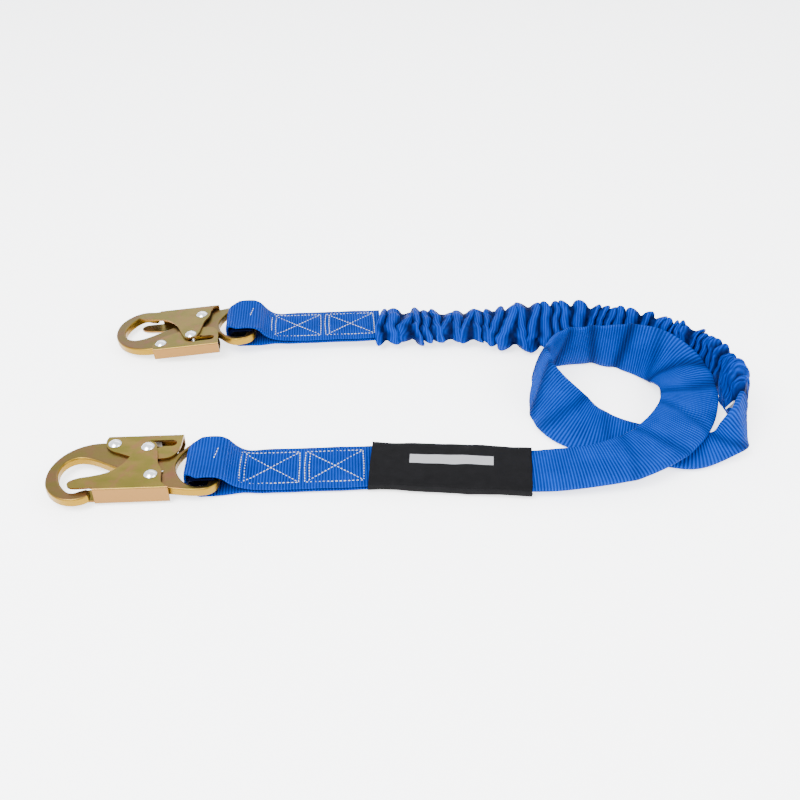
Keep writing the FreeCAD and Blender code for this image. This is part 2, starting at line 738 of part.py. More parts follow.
def main():
    for side, bar, turn, dip, over in (("near", NEAR_BAR, NEAR_TURN, NEAR_DIP, False),
                                       ("far", FAR_BAR, FAR_TURN, FAR_DIP, True)):
        for name, shape in build_hook().items():
            write(side + "_" + name, place_hook(shape, bar, turn, dip, over))
    ends = (("near", NEAR_BAR, NEAR_TURN, NEAR_TAIL_END, NEAR_TAIL_MIDDLE),
            ("far", FAR_BAR, FAR_TURN, FAR_TAIL_END, FAR_TAIL_MIDDLE))
    for side, bar, turn, tail_end, tail_middle in ends:
        write(side + "_eye_webbing", place_webbing(eye_webbing(tail_end, tail_middle), bar, turn))
        write(side + "_wear_pad", place_webbing(wear_pad(), bar, turn))
        dashes = Part.makeCompound(box_stitching(FIRST_STITCH, tail_middle))
        write(side + "_box_stitching", place_webbing(dashes, bar, turn))
    jacket, absorber = build_jacket()
    write("tubular_jacket", jacket)
    write("absorber_core", absorber)
    gathered, elastic = build_gathered()
    write("gathered_jacket", gathered)
    write("elastic_core", elastic)
    write("label_cover", build_sleeve())
    write("label_page", build_page())
    write("inspection_tag", build_tag())


main()
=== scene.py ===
import math
import random

import bpy
from mathutils import Matrix, Vector, noise


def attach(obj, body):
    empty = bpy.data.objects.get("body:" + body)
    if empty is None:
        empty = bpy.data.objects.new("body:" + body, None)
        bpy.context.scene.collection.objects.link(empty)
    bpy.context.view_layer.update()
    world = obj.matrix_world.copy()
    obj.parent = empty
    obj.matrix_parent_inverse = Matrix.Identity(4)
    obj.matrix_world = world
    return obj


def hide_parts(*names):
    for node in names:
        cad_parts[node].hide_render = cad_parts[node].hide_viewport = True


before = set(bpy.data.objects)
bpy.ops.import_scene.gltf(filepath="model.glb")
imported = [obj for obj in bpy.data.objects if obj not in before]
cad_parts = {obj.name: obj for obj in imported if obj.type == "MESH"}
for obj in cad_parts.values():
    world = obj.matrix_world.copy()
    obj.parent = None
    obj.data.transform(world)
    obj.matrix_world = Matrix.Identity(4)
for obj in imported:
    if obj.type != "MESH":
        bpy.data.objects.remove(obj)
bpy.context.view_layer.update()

random.seed(7)

# Metres. Points below are measured from the middle of the lanyard on the floor; ORIGIN turns them
# into the row frame, whose origin is under the middle of the end fittings.
ORIGIN = Vector((-0.0786, -0.00716, 0.0003))

WEB_WIDTH = 0.045
WEB_PLY = 0.0028
TAIL_THICK = 0.0058
JACKET_WIDTH = 0.0445
JACKET_THICK = 0.0064
RUFFLE_FLAT = 0.054
RUFFLE_ON_EDGE = 0.047
RUFFLE_THICK = 0.0195
SLEEVE_WIDTH = 0.051
SLEEVE_THICK = 0.0124

# Centre of the band and its roll in degrees: 0 lies flat, -90 stands on edge, -180 flat, turned over
JACKET_ROUTE = [
    (-0.0140, -0.0914, 0.0062, 0),
    (0.0400, -0.0940, 0.0062, 0),
    (0.0970, -0.0980, 0.0066, 0),
    (0.1480, -0.0970, 0.0120, 0),
    (0.1826, -0.0866, 0.0166, 2),
    (0.2085, -0.0652, 0.0193, 4),
    (0.2265, -0.0366, 0.0208, 3),
    (0.2325, -0.0040, 0.0213, -6),
    (0.2232, 0.0240, 0.0222, -34),
    (0.2030, 0.0406, 0.0232, -80),
    (0.1650, 0.0480, 0.0232, -103),
    (0.1270, 0.0410, 0.0232, -104),
    (0.1130, 0.0100, 0.0229, -101),
    (0.1160, -0.0260, 0.0205, -118),
    (0.1380, -0.0490, 0.0110, -158),
    (0.1720, -0.0580, 0.0050, -180),
    (0.2030, -0.0670, 0.0050, -180),
    (0.2240, -0.0750, 0.0063, -176),
    (0.2440, -0.0740, 0.0118, -152),
    (0.2580, -0.0640, 0.0218, -112),
    (0.2610, -0.0480, 0.0250, -94),
]
GATHER_ROUTE = [
    (0.2620, -0.0420, 0.0254, -92),
    (0.2670, -0.0160, 0.0254, -90),
    (0.2616, 0.0125, 0.0254, -88),
    (0.2436, 0.0400, 0.0254, -86),
    (0.2080, 0.0616, 0.0252, -84),
    (0.1620, 0.0730, 0.0246, -70),
    (0.1120, 0.0860, 0.0180, -26),
    (0.0660, 0.0946, 0.0122, 0),
    (0.0240, 0.0962, 0.0112, 0),
    (-0.0190, 0.0966, 0.0110, 0),
]
SLEEVE_ROUTE = [
    (-0.0220, -0.0904, 0.0065, 0),
    (0.0100, -0.0920, 0.0065, 0),
    (0.0400, -0.0938, 0.0065, 0),
    (0.0700, -0.0958, 0.0067, 0),
    (0.0970, -0.0980, 0.0069, 0),
]


# ---- helpers ----
def route_line(name, route):
    """The route's own smooth line, as (points, rolls): a quadratic NURBS through its control points."""
    curve = bpy.data.curves.new(name, "CURVE")
    curve.dimensions = "3D"
    spline = curve.splines.new("NURBS")
    spline.points.add(len(route) - 1)
    for point, (x, y, z, roll) in zip(spline.points, route):
        point.co = (x - ORIGIN.x, y - ORIGIN.y, z - ORIGIN.z, 1.0)
    spline.order_u = 3
    spline.use_endpoint_u = True
    spline.resolution_u = 40
    line = bpy.data.objects.new(name, curve)
    bpy.context.scene.collection.objects.link(line)
    bpy.context.view_layer.update()
    mesh = bpy.data.meshes.new_from_object(line)
    points = [v.co.copy() for v in mesh.vertices]
    bpy.data.objects.remove(line)
    pieces = len(route) - 2
    knots = [0.0] + [k + 0.5 for k in range(pieces)] + [float(pieces)]
    rolls = []
    for i in range(len(points)):
        t = pieces * i / (len(points) - 1)
        rolls.append(eased(knots, [r[3] for r in route], t))
    return points, [math.radians(r) for r in rolls]


def eased(knots, values, t):
    for a in range(len(knots) - 1):
        if t <= knots[a + 1] or a == len(knots) - 2:
            share = (t - knots[a]) / (knots[a + 1] - knots[a])
            share = min(1.0, max(0.0, share))
            return values[a] + (values[a + 1] - values[a]) * share
    return values[-1]


def lengths_along(points):
    along = [0.0]
    for a, b in zip(points[:-1], points[1:]):
        along.append(along[-1] + (b - a).length)
    return along


class Strip:
    """A flat band: even stations along a line, each with its direction, width and face directions."""

    def __init__(self, points, rolls, step):
        along = lengths_along(points)
        self.length = along[-1]
        self.count = max(2, int(round(self.length / step)) + 1)
        self.step = self.length / (self.count - 1)
        self.centres = []
        rolls_out = []
        at = 0
        for i in range(self.count):
            s = self.step * i
            while at < len(points) - 2 and along[at + 1] < s:
                at += 1
            share = (s - along[at]) / max(1e-9, along[at + 1] - along[at])
            self.centres.append(points[at].lerp(points[at + 1], min(1.0, share)))
            rolls_out.append(rolls[at] + (rolls[at + 1] - rolls[at]) * min(1.0, share))
        self.rolls = smoothed(rolls_out, int(0.012 / self.step))
        self.ahead = []
        self.across = []
        self.face = []
        for i in range(self.count):
            a = self.centres[max(0, i - 1)]
            b = self.centres[min(self.count - 1, i + 1)]
            ahead = (b - a).normalized()
            level = Vector((0, 0, 1)).cross(ahead).normalized()
            upright = ahead.cross(level)
            roll = self.rolls[i]
            across = level * math.cos(roll) + upright * math.sin(roll)
            self.ahead.append(ahead)
            self.across.append(across)
            self.face.append(ahead.cross(across))

    def at(self, s):
        x = min(max(s / self.step, 0.0), self.count - 1.0001)
        i = int(x)
        f = x - i
        return (self.centres[i].lerp(self.centres[i + 1], f),
                self.across[i].lerp(self.across[i + 1], f).normalized(),
                self.face[i].lerp(self.face[i + 1], f).normalized())


def smoothed(values, reach):
    out = []
    for i in range(len(values)):
        low = max(0, i - reach)
        high = min(len(values), i + reach + 1)
        out.append(sum(values[low:high]) / (high - low))
    return out


def ring_profile(count, square):
    """Unit cross-section: (across, face) round a flattened loop; a larger 'square' is boxier."""
    ring = []
    for k in range(count):
        angle = 2 * math.pi * k / count
        c = math.cos(angle)
        s = math.sin(angle)
        across = math.copysign(abs(c) ** (2 / square), c)
        face = math.copysign(abs(s) ** (2 / square), s)
        ring.append((across, face))
    return ring


def add_mesh(name, verts, faces, uvs, material, painted_shades=None):
    mesh = bpy.data.meshes.new(name)
    mesh.from_pydata([tuple(v) for v in verts], [], faces)
    if uvs:
        layer = mesh.uv_layers.new(name="along")
        for loop in mesh.loops:
            layer.data[loop.index].uv = uvs[loop.vertex_index]
    mesh.materials.append(material)
    for polygon in mesh.polygons:
        polygon.use_smooth = True
    # Painted shade per vertex, kept as a mesh attribute that the fabric materials use to darken their colour
    if painted_shades:
        layer = mesh.attributes.new("painted_shade", "FLOAT", "POINT")
        for spot, painted_shade in zip(layer.data, painted_shades):
            spot.value = painted_shade
    piece = bpy.data.objects.new(name, mesh)
    bpy.context.scene.collection.objects.link(piece)
    return piece


def skin(name, strip, shape, ring_count, square, material, painted_shade=None):
    """Closed tube round a strip. shape(s, across, face) gives the offsets in metres, the optional last
    callback the painted shade (1.0 means unshaded).
    """
    ring = ring_profile(ring_count, square)
    verts = []
    uvs = []
    painted_shades = []
    for i in range(strip.count):
        s = strip.step * i
        for across, face in ring:
            along_off, across_off, face_off = shape(s, across, face)
            verts.append(strip.centres[i] + strip.ahead[i] * along_off
                         + strip.across[i] * across_off + strip.face[i] * face_off)
            uvs.append((s, across_off))
            painted_shades.append(painted_shade(s, across, face) if painted_shade else 1.0)
    faces = []
    n = ring_count
    for i in range(strip.count - 1):
        for k in range(n):
            a = i * n + k
            b = i * n + (k + 1) % n
            faces.append((a, b, b + n, a + n))
    faces.append(tuple(range(n - 1, -1, -1)))
    last = (strip.count - 1) * n
    faces.append(tuple(range(last, last + n)))
    return add_mesh(name, verts, faces, uvs, material, painted_shades)


# ---- materials ----
def shader(name, colour, metallic=0.0, roughness=0.6):
    material = bpy.data.materials.new(name)
    material.use_nodes = True
    nodes = material.node_tree.nodes
    bsdf = nodes["Principled BSDF"]
    bsdf.inputs["Base Color"].default_value = (*colour, 1.0)
    bsdf.inputs["Metallic"].default_value = metallic
    bsdf.inputs["Roughness"].default_value = roughness
    return material, nodes, material.node_tree.links, bsdf


def maths(nodes, links, operation, first, second=None):
    node = nodes.new("ShaderNodeMath")
    node.operation = operation
    for slot, value in ((0, first), (1, second)):
        if value is None:
            continue
        if isinstance(value, (int, float)):
            node.inputs[slot].default_value = value
        else:
            links.new(value, node.inputs[slot])
    return node.outputs[0]


def noise_value(nodes, links, coords, scale, detail=3.0):
    node = nodes.new("ShaderNodeTexNoise")
    node.inputs["Scale"].default_value = scale
    node.inputs["Detail"].default_value = detail
    links.new(coords, node.inputs["Vector"])
    return node.outputs["Fac"]


def bump(nodes, links, height, strength, distance, bsdf, normal=None):
    node = nodes.new("ShaderNodeBump")
    node.inputs["Strength"].default_value = strength
    node.inputs["Distance"].default_value = distance
    links.new(height, node.inputs["Height"])
    if normal is not None:
        links.new(normal, node.inputs["Normal"])
    links.new(node.outputs["Normal"], bsdf.inputs["Normal"])
    return node.outputs["Normal"]


def mix_colour(nodes, links, factor, first, second):
    node = nodes.new("ShaderNodeMix")
    node.data_type = "RGBA"
    links.new(factor, node.inputs["Factor"])
    for slot, value in (("A", first), ("B", second)):
        socket = [s for s in node.inputs if s.name == slot and s.type == "RGBA"][0]
        if isinstance(value, tuple):
            socket.default_value = (*value, 1.0)
        else:
            links.new(value, socket)
    return [s for s in node.outputs if s.type == "RGBA"][0]


RIB_PITCH = 0.0022


def ribbed_webbing(name, deep, light, strength):
    """Blue polyester with ribs across the band, painted shade in the grooves between ribs and in the mesh's
    folds; UV is metres along and across.
    """
    material, nodes, links, bsdf = shader(name, deep, 0.0, 0.55)
    uv = nodes.new("ShaderNodeUVMap")
    uv.uv_map = "along"
    split = nodes.new("ShaderNodeSeparateXYZ")
    links.new(uv.outputs["UV"], split.inputs[0])
    along = split.outputs[0]
    across = split.outputs[1]
    phase = maths(nodes, links, "MULTIPLY", along, 2 * math.pi / RIB_PITCH)
    wave = maths(nodes, links, "SINE", phase)
    rib = maths(nodes, links, "MULTIPLY_ADD", wave, 0.5)
    nodes[-1].inputs[2].default_value = 0.5
    yarn_phase = maths(nodes, links, "MULTIPLY", across, 2 * math.pi / 0.0009)
    yarn = maths(nodes, links, "SINE", yarn_phase)
    yarn = maths(nodes, links, "MULTIPLY", yarn, 0.12)
    height = maths(nodes, links, "ADD", rib, yarn)
    coords = nodes.new("ShaderNodeTexCoord").outputs["Object"]
    blotch = noise_value(nodes, links, coords, 55.0)
    shade = maths(nodes, links, "MULTIPLY", rib, 0.65)
    shade = maths(nodes, links, "MULTIPLY_ADD", blotch, 0.45)
    nodes[-1].inputs[2].default_value = 0.0
    # Colour mix: random blotches, which the webbing has, plus painted shade that darkens the grooves between
    # the ribs
    groove_shade_and_blotch = maths(nodes, links, "ADD", shade, maths(nodes, links, "MULTIPLY", rib, 0.6))
    ribs = mix_colour(nodes, links, groove_shade_and_blotch, deep, light)
    # Painted shade: the mesh's shade attribute pulls the colour towards a near-black blue in jacket folds
    # and ruffle valleys
    folds = nodes.new("ShaderNodeAttribute")
    folds.attribute_name = "painted_shade"
    shadow = tuple(0.22 * channel for channel in deep)
    colour = mix_colour(nodes, links, folds.outputs["Fac"], shadow, ribs)
    links.new(colour, bsdf.inputs["Base Color"])
    fuzz = noise_value(nodes, links, coords, 2600.0)
    first = bump(nodes, links, height, strength, 0.0005, bsdf)
    bump(nodes, links, fuzz, 0.12, 0.0002, bsdf, first)
    bsdf.inputs["Specular IOR Level"].default_value = 0.03
    return material


def yellow_zinc(name, tints, side_highlight_tint, ridge_scale):
    """Iridescent yellow zinc plating: soft bands of olive, gold and pink-brown, and a painted golden
    highlight on the side faces.
    """
    material, nodes, links, bsdf = shader(name, tints[0], 1.0, 0.34)
    coords = nodes.new("ShaderNodeTexCoord").outputs["Object"]
    stretch = nodes.new("ShaderNodeMapping")
    stretch.inputs["Scale"].default_value = (1.0, 2.2, 1.6)
    links.new(coords, stretch.inputs["Vector"])
    patch = noise_value(nodes, links, stretch.outputs[0], 42.0, 2.0)
    sharper = nodes.new("ShaderNodeMapRange")
    sharper.inputs["From Min"].default_value = 0.38
    sharper.inputs["From Max"].default_value = 0.62
    links.new(patch, sharper.inputs["Value"])
    first = mix_colour(nodes, links, sharper.outputs[0], tints[0], tints[1])
    patch_two = noise_value(nodes, links, coords, 95.0, 3.0)
    softer = nodes.new("ShaderNodeMapRange")
    softer.inputs["From Min"].default_value = 0.5
    softer.inputs["From Max"].default_value = 0.75
    links.new(patch_two, softer.inputs["Value"])
    second = mix_colour(nodes, links, softer.outputs[0], first, tints[2])
    # Painted highlight: faces turned away from up and down, the sides and edges, are tinted towards the
    # bright golden side colour
    surface = nodes.new("ShaderNodeTexCoord")
    split = nodes.new("ShaderNodeSeparateXYZ")
    links.new(surface.outputs["Normal"], split.inputs[0])
    flatness = maths(nodes, links, "ABSOLUTE", split.outputs[2])
    side = nodes.new("ShaderNodeMapRange")
    side.inputs["From Min"].default_value = 0.93
    side.inputs["From Max"].default_value = 0.55
    links.new(flatness, side.inputs["Value"])
    with_side_highlight = mix_colour(nodes, links, side.outputs[0], second, side_highlight_tint)
    links.new(with_side_highlight, bsdf.inputs["Base Color"])
    grain = noise_value(nodes, links, coords, 900.0, 4.0)
    rough = maths(nodes, links, "MULTIPLY_ADD", grain, 0.22)
    nodes[-1].inputs[2].default_value = 0.26
    links.new(rough, bsdf.inputs["Roughness"])
    bump(nodes, links, noise_value(nodes, links, coords, ridge_scale, 5.0), 0.18, 0.0004, bsdf)
    return material


def plain(name, colour, metallic, roughness, grain_scale=0.0, strength=0.0):
    material, nodes, links, bsdf = shader(name, colour, metallic, roughness)
    if grain_scale:
        coords = nodes.new("ShaderNodeTexCoord").outputs["Object"]
        bump(nodes, links, noise_value(nodes, links, coords, grain_scale), strength, 0.0003, bsdf)
    return material


PANEL_PLACE = 0.060        # blank printed panel on the cover, from its left end
PANEL_LONG = 0.062
PANEL_OFFSET = 0.004
PANEL_WIDE = 0.010
PRINT_COLOUR = (0.23, 0.23, 0.24)
WEAVE_PITCH = 0.0011


def woven_black(name):
    """Black coated woven cover: fine plain weave, soft creases and a dusty wear."""
    material, nodes, links, bsdf = shader(name, (0.012, 0.012, 0.014), 0.0, 0.62)
    uv = nodes.new("ShaderNodeUVMap")
    uv.uv_map = "along"
    split = nodes.new("ShaderNodeSeparateXYZ")
    links.new(uv.outputs["UV"], split.inputs[0])
    threads = 2 * math.pi / WEAVE_PITCH
    warp = maths(nodes, links, "SINE", maths(nodes, links, "MULTIPLY", split.outputs[0], threads))
    weft = maths(nodes, links, "SINE", maths(nodes, links, "MULTIPLY", split.outputs[1], threads))
    weave = maths(nodes, links, "MULTIPLY", warp, weft)
    coords = nodes.new("ShaderNodeTexCoord").outputs["Object"]
    crease = noise_value(nodes, links, coords, 60.0, 4.0)
    first = bump(nodes, links, weave, 0.25, 0.00025, bsdf)
    bump(nodes, links, crease, 0.35, 0.0012, bsdf, first)
    dust = noise_value(nodes, links, coords, 140.0, 5.0)
    cloth = mix_colour(nodes, links, dust, (0.0012, 0.0012, 0.0015), (0.0042, 0.0040, 0.0045))
    on_panel = maths(nodes, links, "COMPARE", split.outputs[0], PANEL_PLACE)
    nodes[-1].inputs[2].default_value = PANEL_LONG / 2
    in_band = maths(nodes, links, "COMPARE", split.outputs[1], PANEL_OFFSET)
    nodes[-1].inputs[2].default_value = PANEL_WIDE / 2
    surface = nodes.new("ShaderNodeTexCoord")
    normal = nodes.new("ShaderNodeSeparateXYZ")
    links.new(surface.outputs["Normal"], normal.inputs[0])
    on_top = maths(nodes, links, "GREATER_THAN", normal.outputs[2], 0.0)
    panel = maths(nodes, links, "MULTIPLY", maths(nodes, links, "MULTIPLY", on_panel, in_band), on_top)
    links.new(mix_colour(nodes, links, panel, cloth, PRINT_COLOUR), bsdf.inputs["Base Color"])
    bsdf.inputs["Specular IOR Level"].default_value = 0.05
    return material


FORGED_TINTS = ((0.120, 0.070, 0.024), (0.105, 0.078, 0.016), (0.135, 0.058, 0.030))
PRESSED_TINTS = ((0.155, 0.108, 0.022), (0.118, 0.096, 0.014), (0.180, 0.082, 0.034))
# Painted highlights: bright golden colours for the side faces and edges of the hook metal
FORGED_SIDE_HIGHLIGHT = (0.24, 0.135, 0.012)
PRESSED_SIDE_HIGHLIGHT = (0.22, 0.112, 0.032)
FORGED = yellow_zinc("forged_zinc", FORGED_TINTS, FORGED_SIDE_HIGHLIGHT, 320.0)
PRESSED = yellow_zinc("pressed_zinc", PRESSED_TINTS, PRESSED_SIDE_HIGHLIGHT, 240.0)
RIVET = plain("bright_rivet", (0.72, 0.73, 0.74), 1.0, 0.2, 500.0, 0.08)
SPRING = plain("spring_steel", (0.55, 0.55, 0.54), 1.0, 0.3)
WEBBING = ribbed_webbing("blue_webbing", (0.0, 0.0022, 0.040), (0.0, 0.036, 0.300), 0.9)
JACKET = ribbed_webbing("blue_jacket", (0.0, 0.0022, 0.040), (0.0, 0.044, 0.360), 1.0)
RUFFLED = ribbed_webbing("blue_ruffles", (0.0, 0.0032, 0.056), (0.0, 0.038, 0.330), 0.6)
COVER = woven_black("black_cover")
THREAD = plain("white_thread", (0.42, 0.45, 0.50), 0.0, 0.7, 1800.0, 0.3)
TAG = plain("white_tag", (0.60, 0.57, 0.50), 0.0, 0.8, 900.0, 0.2)
CORE = plain("woven_core", (0.70, 0.69, 0.62), 0.0, 0.8, 900.0, 0.4)
PAGE = plain("label_page", (0.60, 0.60, 0.58), 0.0, 0.8)

for side in ("near", "far"):
    for node, material in (("hook_body", FORGED), ("gate", PRESSED), ("lock_lever", PRESSED),
                           ("gate_pivot_rivet", RIVET), ("lever_pivot_rivet", RIVET), ("lock_pin", RIVET),
                           ("gate_spring", SPRING), ("lever_spring", SPRING)):
        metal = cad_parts[side + "_" + node]
        for slot in metal.material_slots:
            slot.material = material


# ---- the tubular jacket ----
# Each fold: metres along the jacket, depth, and how far it leans along the band from middle to edge
JACKET_FOLDS = (
    (0.186, 0.0008, 0.006), (0.214, 0.0012, -0.005), (0.252, 0.0011, 0.008), (0.286, 0.0015, -0.006),
    (0.318, 0.0019, 0.010), (0.338, 0.0012, -0.004), (0.366, 0.0022, 0.004), (0.392, 0.0019, -0.003),
    (0.420, 0.0017, 0.005), (0.452, 0.0020, -0.006), (0.484, 0.0018, 0.008), (0.512, 0.0012, -0.006),
    (0.548, 0.0008, 0.004), (0.640, 0.0016, 0.009), (0.668, 0.0016, -0.007),
)

def jacket_wrinkle(s, across):
    """Soft cross-folds where the band turns, in metres away from its face."""
    lift = 0.0
    for place, depth, skew in JACKET_FOLDS:
        skewed = s - place - across * skew
        lift -= depth * math.exp(-(skewed / 0.0048) ** 2)
    return lift


# Painted shade: the jacket's colour darkens in its cross-folds in step with their depth, down to a quarter
def jacket_fold_shade(s, across, face):
    return max(0.25, 1.0 + 330.0 * jacket_wrinkle(s, across))


def tucked(s):
    """Share of the jacket's width left where it folds up beside its own front band."""
    return 1.0 - 0.48 * math.exp(-((s - (jacket_strip.length - 0.036)) / 0.020) ** 2)


def jacket_shape(s, across, face):
    slow = noise.noise(Vector((s * 28.0, across * 1.3, 0.0)))
    width = JACKET_WIDTH / 2 * (1.0 + 0.03 * noise.noise(Vector((s * 35.0, 5.0, 1.0)))) * tucked(s)
    thick = JACKET_THICK / 2
    lift = jacket_wrinkle(s, across) + 0.0007 * slow
    rib = 0.00022 * math.sin(2 * math.pi * s / RIB_PITCH) * abs(face)
    return 0.0, across * width, face * (thick + rib) + lift


jacket_line, jacket_rolls = route_line("jacket_route", JACKET_ROUTE)
jacket_strip = Strip(jacket_line, jacket_rolls, 0.00055)
jacket = skin("jacket", jacket_strip, jacket_shape, 56, 3.2, JACKET, jacket_fold_shade)
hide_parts("tubular_jacket")
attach(jacket, "webbing")
tuple(jacket_line[0])
[tuple(p) for p in jacket_line]


# ---- the gathered section ----
TIGHT_LENGTH = 0.13       # the ruffles crowd together on the tight bend


def ruffle_plan(length):
    """Ruffles one after another: (start, long, height, lean) in metres, uneven as sewn gathers are."""
    plan = []
    s = 0.0
    while s < length:
        long = random.uniform(0.0066, 0.0142) * (0.72 if s < TIGHT_LENGTH else 1.0)
        height = random.uniform(0.55, 1.0)
        lean = random.uniform(-0.22, 0.22)
        sideways = random.uniform(-0.007, 0.007)
        plan.append((s, long, height, lean, sideways))
        s += long
    return plan


def gathered_maker(strip):
    """The ruffles' shape and their painted shade, dark in the valleys."""
    plan = ruffle_plan(strip.length)

    def swell(s):
        for start, long, height, sideways, lean in plan:
            if s <= start + long:
                share = max(0.0, (s - start) / long)
                return height, math.sin(math.pi * share), sideways, lean
        return 0.8, 0.0, 0.0, 0.0

    def drifted(s, across, face):
        drift = 0.0042 * noise.noise(Vector((across * 1.3, face * 0.8, s * 22.0)))
        drift += 0.0016 * noise.noise(Vector((across * 3.6, face * 1.5, s * 70.0)))
        return s + drift

    # Painted shade: near black in the valleys between ruffles, and darker on the lower ruffles
    def painted_shade(s, across, face):
        height, lobe, sideways, lean = swell(drifted(s, across, face))
        return min(1.0, 0.03 + 1.2 * lobe ** 1.25 * (0.45 + 0.55 * height))

    def shape(s, across, face):
        height, lobe, sideways, lean = swell(drifted(s, across, face))
        full = lobe ** 0.5
        roll = strip.rolls[min(strip.count - 1, int(s / strip.step))]
        flat = math.cos(roll) ** 2
        wide = RUFFLE_ON_EDGE + (RUFFLE_FLAT - RUFFLE_ON_EDGE) * flat
        swing = 1.0 + 0.10 * noise.noise(Vector((s * 55.0, 2.0, face)))
        width = wide / 2 * (0.66 + 0.34 * full * height) * swing
        thick = RUFFLE_THICK / 2 * (0.30 + 0.70 * full * height)
        dimple = 0.0016 * noise.noise(Vector((s * 75.0, across * 2.2, face * 2.0)))
        fine = 0.0006 * noise.noise(Vector((s * 170.0, across * 4.5, face * 2.0)))
        along = lean * across + 0.0012 * noise.noise(Vector((across * 3, s * 60, face)))
        outward = face * thick + (dimple + fine) * abs(face)
        return along * full, across * width + sideways * 0.006 * full, outward

    return shape, painted_shade


gather_line, gather_rolls = route_line("gather_route", GATHER_ROUTE)
gather_strip = Strip(gather_line, gather_rolls, 0.0005)
gathered_shape, gathered_ruffle_shade = gathered_maker(gather_strip)
gathered = skin("gathered", gather_strip, gathered_shape, 72, 2.4, RUFFLED, gathered_ruffle_shade)
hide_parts("gathered_jacket")
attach(gathered, "webbing")
tuple(gather_line[0])
[tuple(p) for p in gather_line]

def trimmed(strip, cut):
    """The same line and rolls without 'cut' metres at each end, as a strip of its own."""
    first = int(cut / strip.step)
    last = strip.count - first
    return Strip(strip.centres[first:last], strip.rolls[first:last], 0.003)


CORE_CUT = 0.012


def absorber_shape(s, across, face):
    place = s + CORE_CUT
    return 0.0, across * 0.0150 * tucked(place), face * 0.0008 + jacket_wrinkle(place, across * 0.7)


def elastic_shape(s, across, face):
    return 0.0, across * 0.0100, face * 0.0012


def make_core(name, strip, node, shape):
    core = skin(name, trimmed(strip, CORE_CUT), shape, 20, 3.0, CORE)
    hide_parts(node)
    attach(core, "webbing")


make_core("absorber", jacket_strip, "absorber_core", absorber_shape)
make_core("elastic", gather_strip, "elastic_core", elastic_shape)


def tag_shape(s, across, face):
    return 0.0, across * 0.0040 + 0.0010 * math.sin(s * 500.0), face * 0.0003 + 0.0012 * math.sin(s * 420.0)


tag_line = [Vector(point) - ORIGIN for point in ((0.2505, -0.0520, 0.0330), (0.2530, -0.0490, 0.0315),
                                                 (0.2560, -0.0460, 0.0300))]
tag = skin("tag", Strip(tag_line, [math.radians(-64.0)] * len(tag_line), 0.0008), tag_shape, 12, 6.0, TAG)
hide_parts("inspection_tag")
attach(tag, "webbing")


# ---- the sewn webbing eyes ----
class Eye:
    """One end of the lanyard in its own frame: x along the tail from the eye bar's axis, y across, z up."""

    def __init__(self, side, bar, turn, tail_middle, tail_end):
        self.side = side
        self.bar = Vector(bar) - ORIGIN
        self.turn = Matrix.Rotation(math.radians(turn), 3, "Z")
        self.middle = tail_middle
        self.end = tail_end

    def world(self, x, y, z):
        return self.bar + self.turn @ Vector((x, y, z))

    def line(self):
        """Upper layer, round the loop and back along the lower layer."""
        ply = TAIL_THICK / 4
        high = self.middle + ply
        low = self.middle - ply
        corners = [
            (self.end, high), (0.070, high), (0.034, high), (0.0215, high + 0.0004), (0.0130, high + 0.0046),
            (0.0060, 0.0084), (-0.0060, 0.0083), (-0.0150, 0.0084), (-0.0212, 0.0068), (-0.0212, -0.0068),
            (-0.0150, -0.0081), (-0.0020, -0.0080), (0.0090, min(low - 0.0008, -0.0062)),
            (0.0200, low - 0.0002), (0.034, low), (0.070, low), (self.end, low),
        ]
        route = []
        for x, z in corners:
            place = self.world(x, 0.0, z) + ORIGIN
            route.append((place.x, place.y, place.z, 0.0))
        return route_line(self.side + "_eye_line", route)[0]


def surface_height(eye, x, face):
    """Height of the webbing's upper (+1) or lower (-1) face above place x of the tail's frame."""
    best = None
    for centre, ahead in zip(eye.strip.centres, eye.strip.ahead):
        place = eye.turn.transposed() @ (centre - eye.bar)
        if (place.z - eye.middle) * face < 0.0:
            continue
        miss = abs(place.x - x)
        if best is None or miss < best[0]:
            best = (miss, place.z, ahead.z)
    return best[1] + face * WEB_PLY / 2, best[2]


class FlatStrip(Strip):
    """A strip whose width keeps one direction, so that it can go round a loop."""

    def __init__(self, points, step, across):
        super().__init__(points, [0.0] * len(points), step)
        self.across = [across] * self.count
        self.face = [ahead.cross(across) for ahead in self.ahead]


NEAR_EYE = Eye("near", (-0.1350, -0.0960, 0.0098), 3.0, -0.0054, 0.117)
FAR_EYE = Eye("far", (-0.1315, 0.0910, 0.0174), 4.0, -0.0064, 0.114)


def eased_share(t):
    t = min(1.0, max(0.0, t))
    return t * t * (3.0 - 2.0 * t)


def eye_shape_maker(eye, strip):
    def shape(s, across, face):
        spot = min(strip.count - 1, int(s / strip.step))
        place = eye.turn.transposed() @ (strip.centres[spot] - eye.bar)
        tuck = eased_share((-place.x - 0.0100) / 0.0125)
        pinch = math.exp(-((place.x - 0.020) / 0.010) ** 2)
        width = WEB_WIDTH / 2 * (1.02 - 0.34 * tuck - 0.06 * pinch)
        upward = strip.face[spot].z
        slack = 0.0004 * noise.noise(Vector((place.x * 60.0, across * 1.6, upward)))
        on_bar = math.exp(-((place.x + 0.004) / 0.013) ** 2)
        curl = -0.0022 * on_bar * across ** 4 * max(0.0, -upward)
        rib = 0.00014 * math.sin(2 * math.pi * s / RIB_PITCH) * abs(face)
        return 0.0, across * width, face * (WEB_PLY / 2 + rib) + curl + slack
    return shape


def make_eye(eye):
    across = eye.turn @ Vector((0.0, 1.0, 0.0))
    eye.strip = FlatStrip(eye.line(), 0.0006, across)
    loop = skin(eye.side + "_webbing", eye.strip, eye_shape_maker(eye, eye.strip), 48, 4.0, WEBBING)
    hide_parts(eye.side + "_eye_webbing")
    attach(loop, "webbing")
    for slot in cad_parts[eye.side + "_wear_pad"].material_slots:
        slot.material = WEBBING


